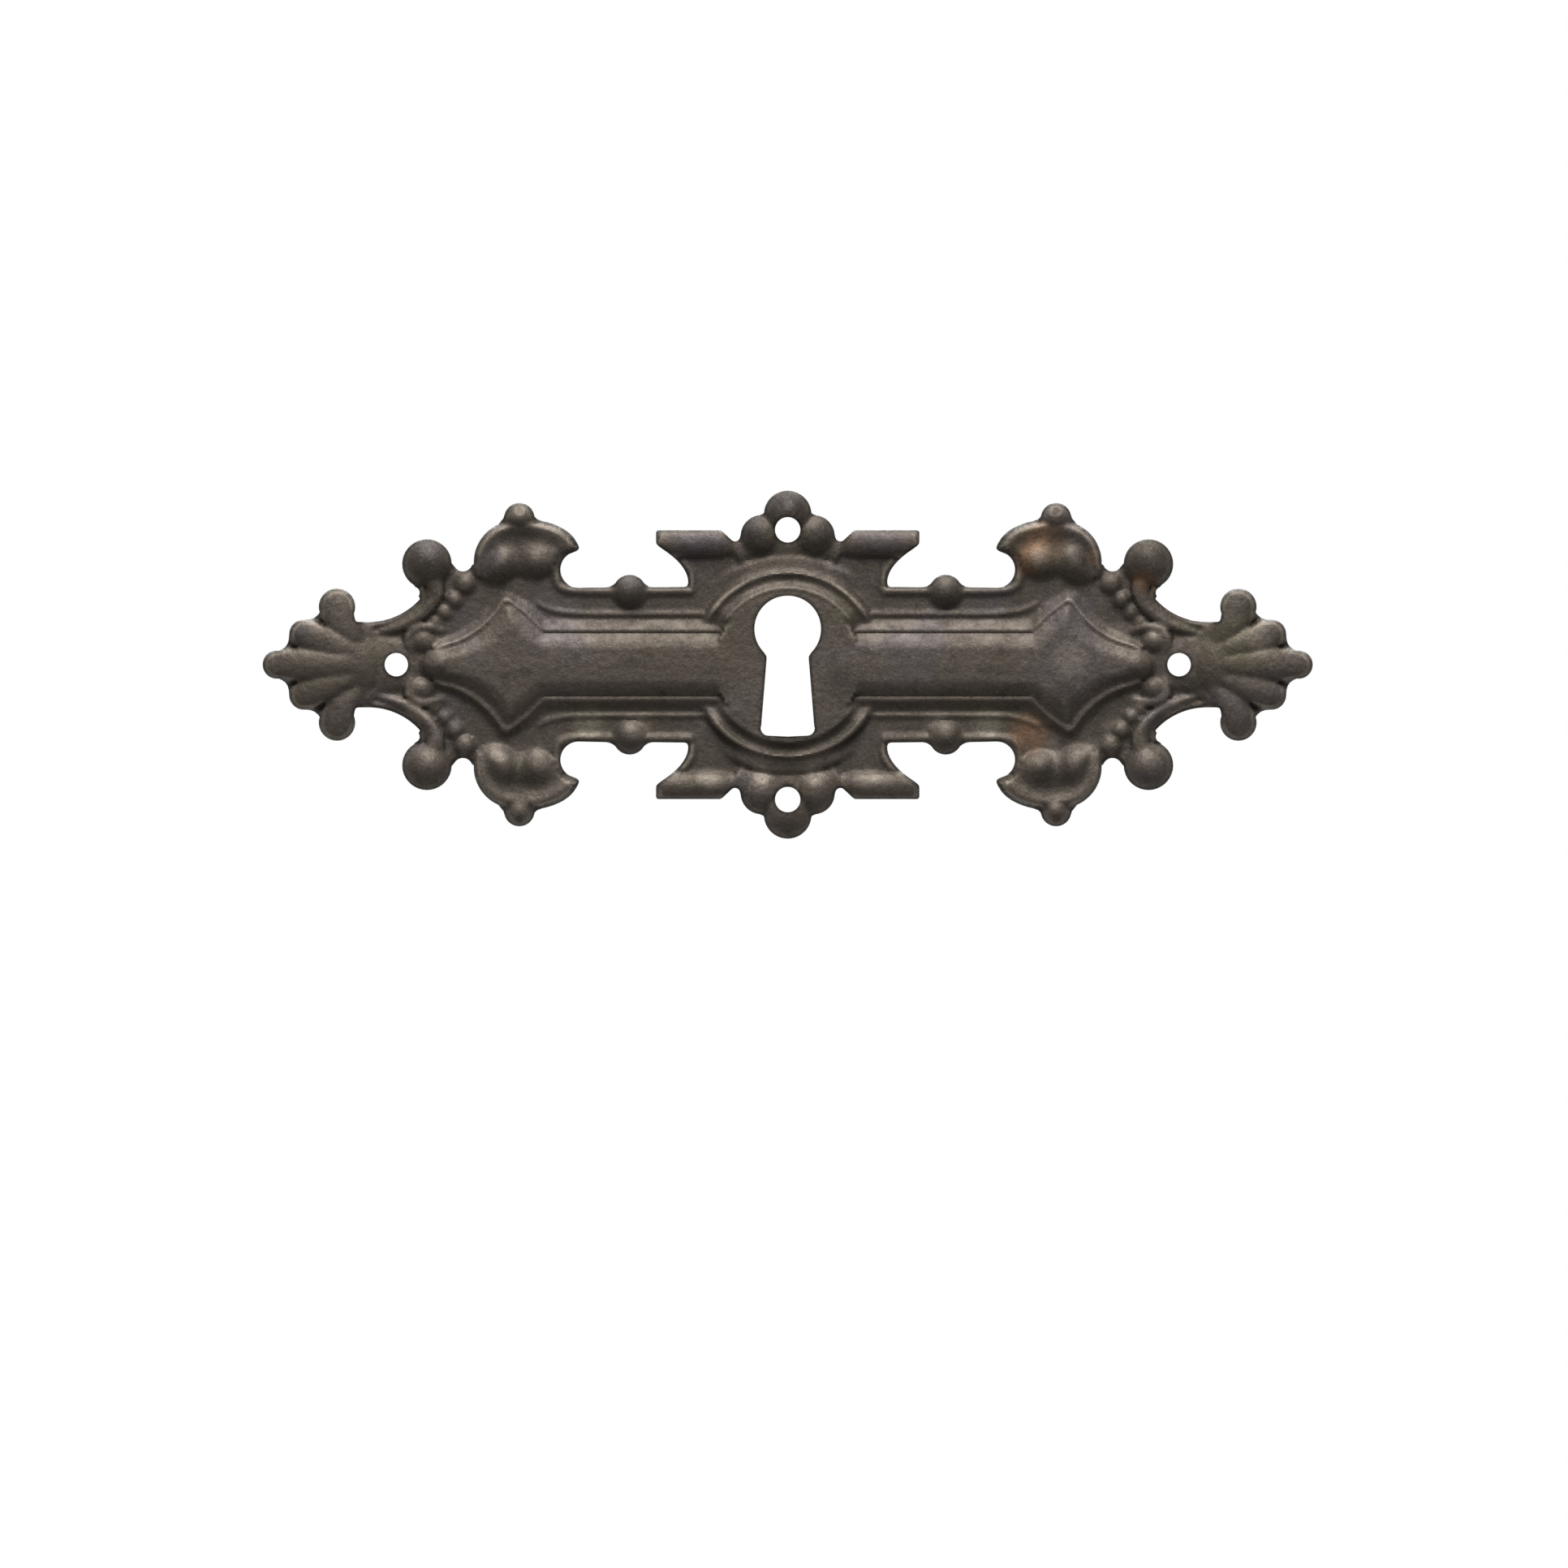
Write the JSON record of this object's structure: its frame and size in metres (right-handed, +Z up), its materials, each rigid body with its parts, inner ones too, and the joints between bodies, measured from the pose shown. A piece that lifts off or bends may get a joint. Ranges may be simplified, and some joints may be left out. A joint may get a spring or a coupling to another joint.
{
  "type": "keyhole escutcheon",
  "caption": "Long ornamental pressed metal plate that frames a keyhole on a drawer or cabinet front, with pin holes in its ends and in its trefoils.",
  "frame": {"origin": "centre of the plate, on the plane of its flat back rim", "axes": "upright as fixed on furniture: X along the plate, Z up, the ornamented front faces -Y"},
  "size_m": [0.108, 0.0033, 0.0358],
  "materials": {
    "patinated_brass": "dark antique patina, satin, with pale warm grey wear on the raised lines"
  },
  "bodies": {
    "root": {"escutcheon_plate": "patinated_brass"}
  },
  "joints": []
}
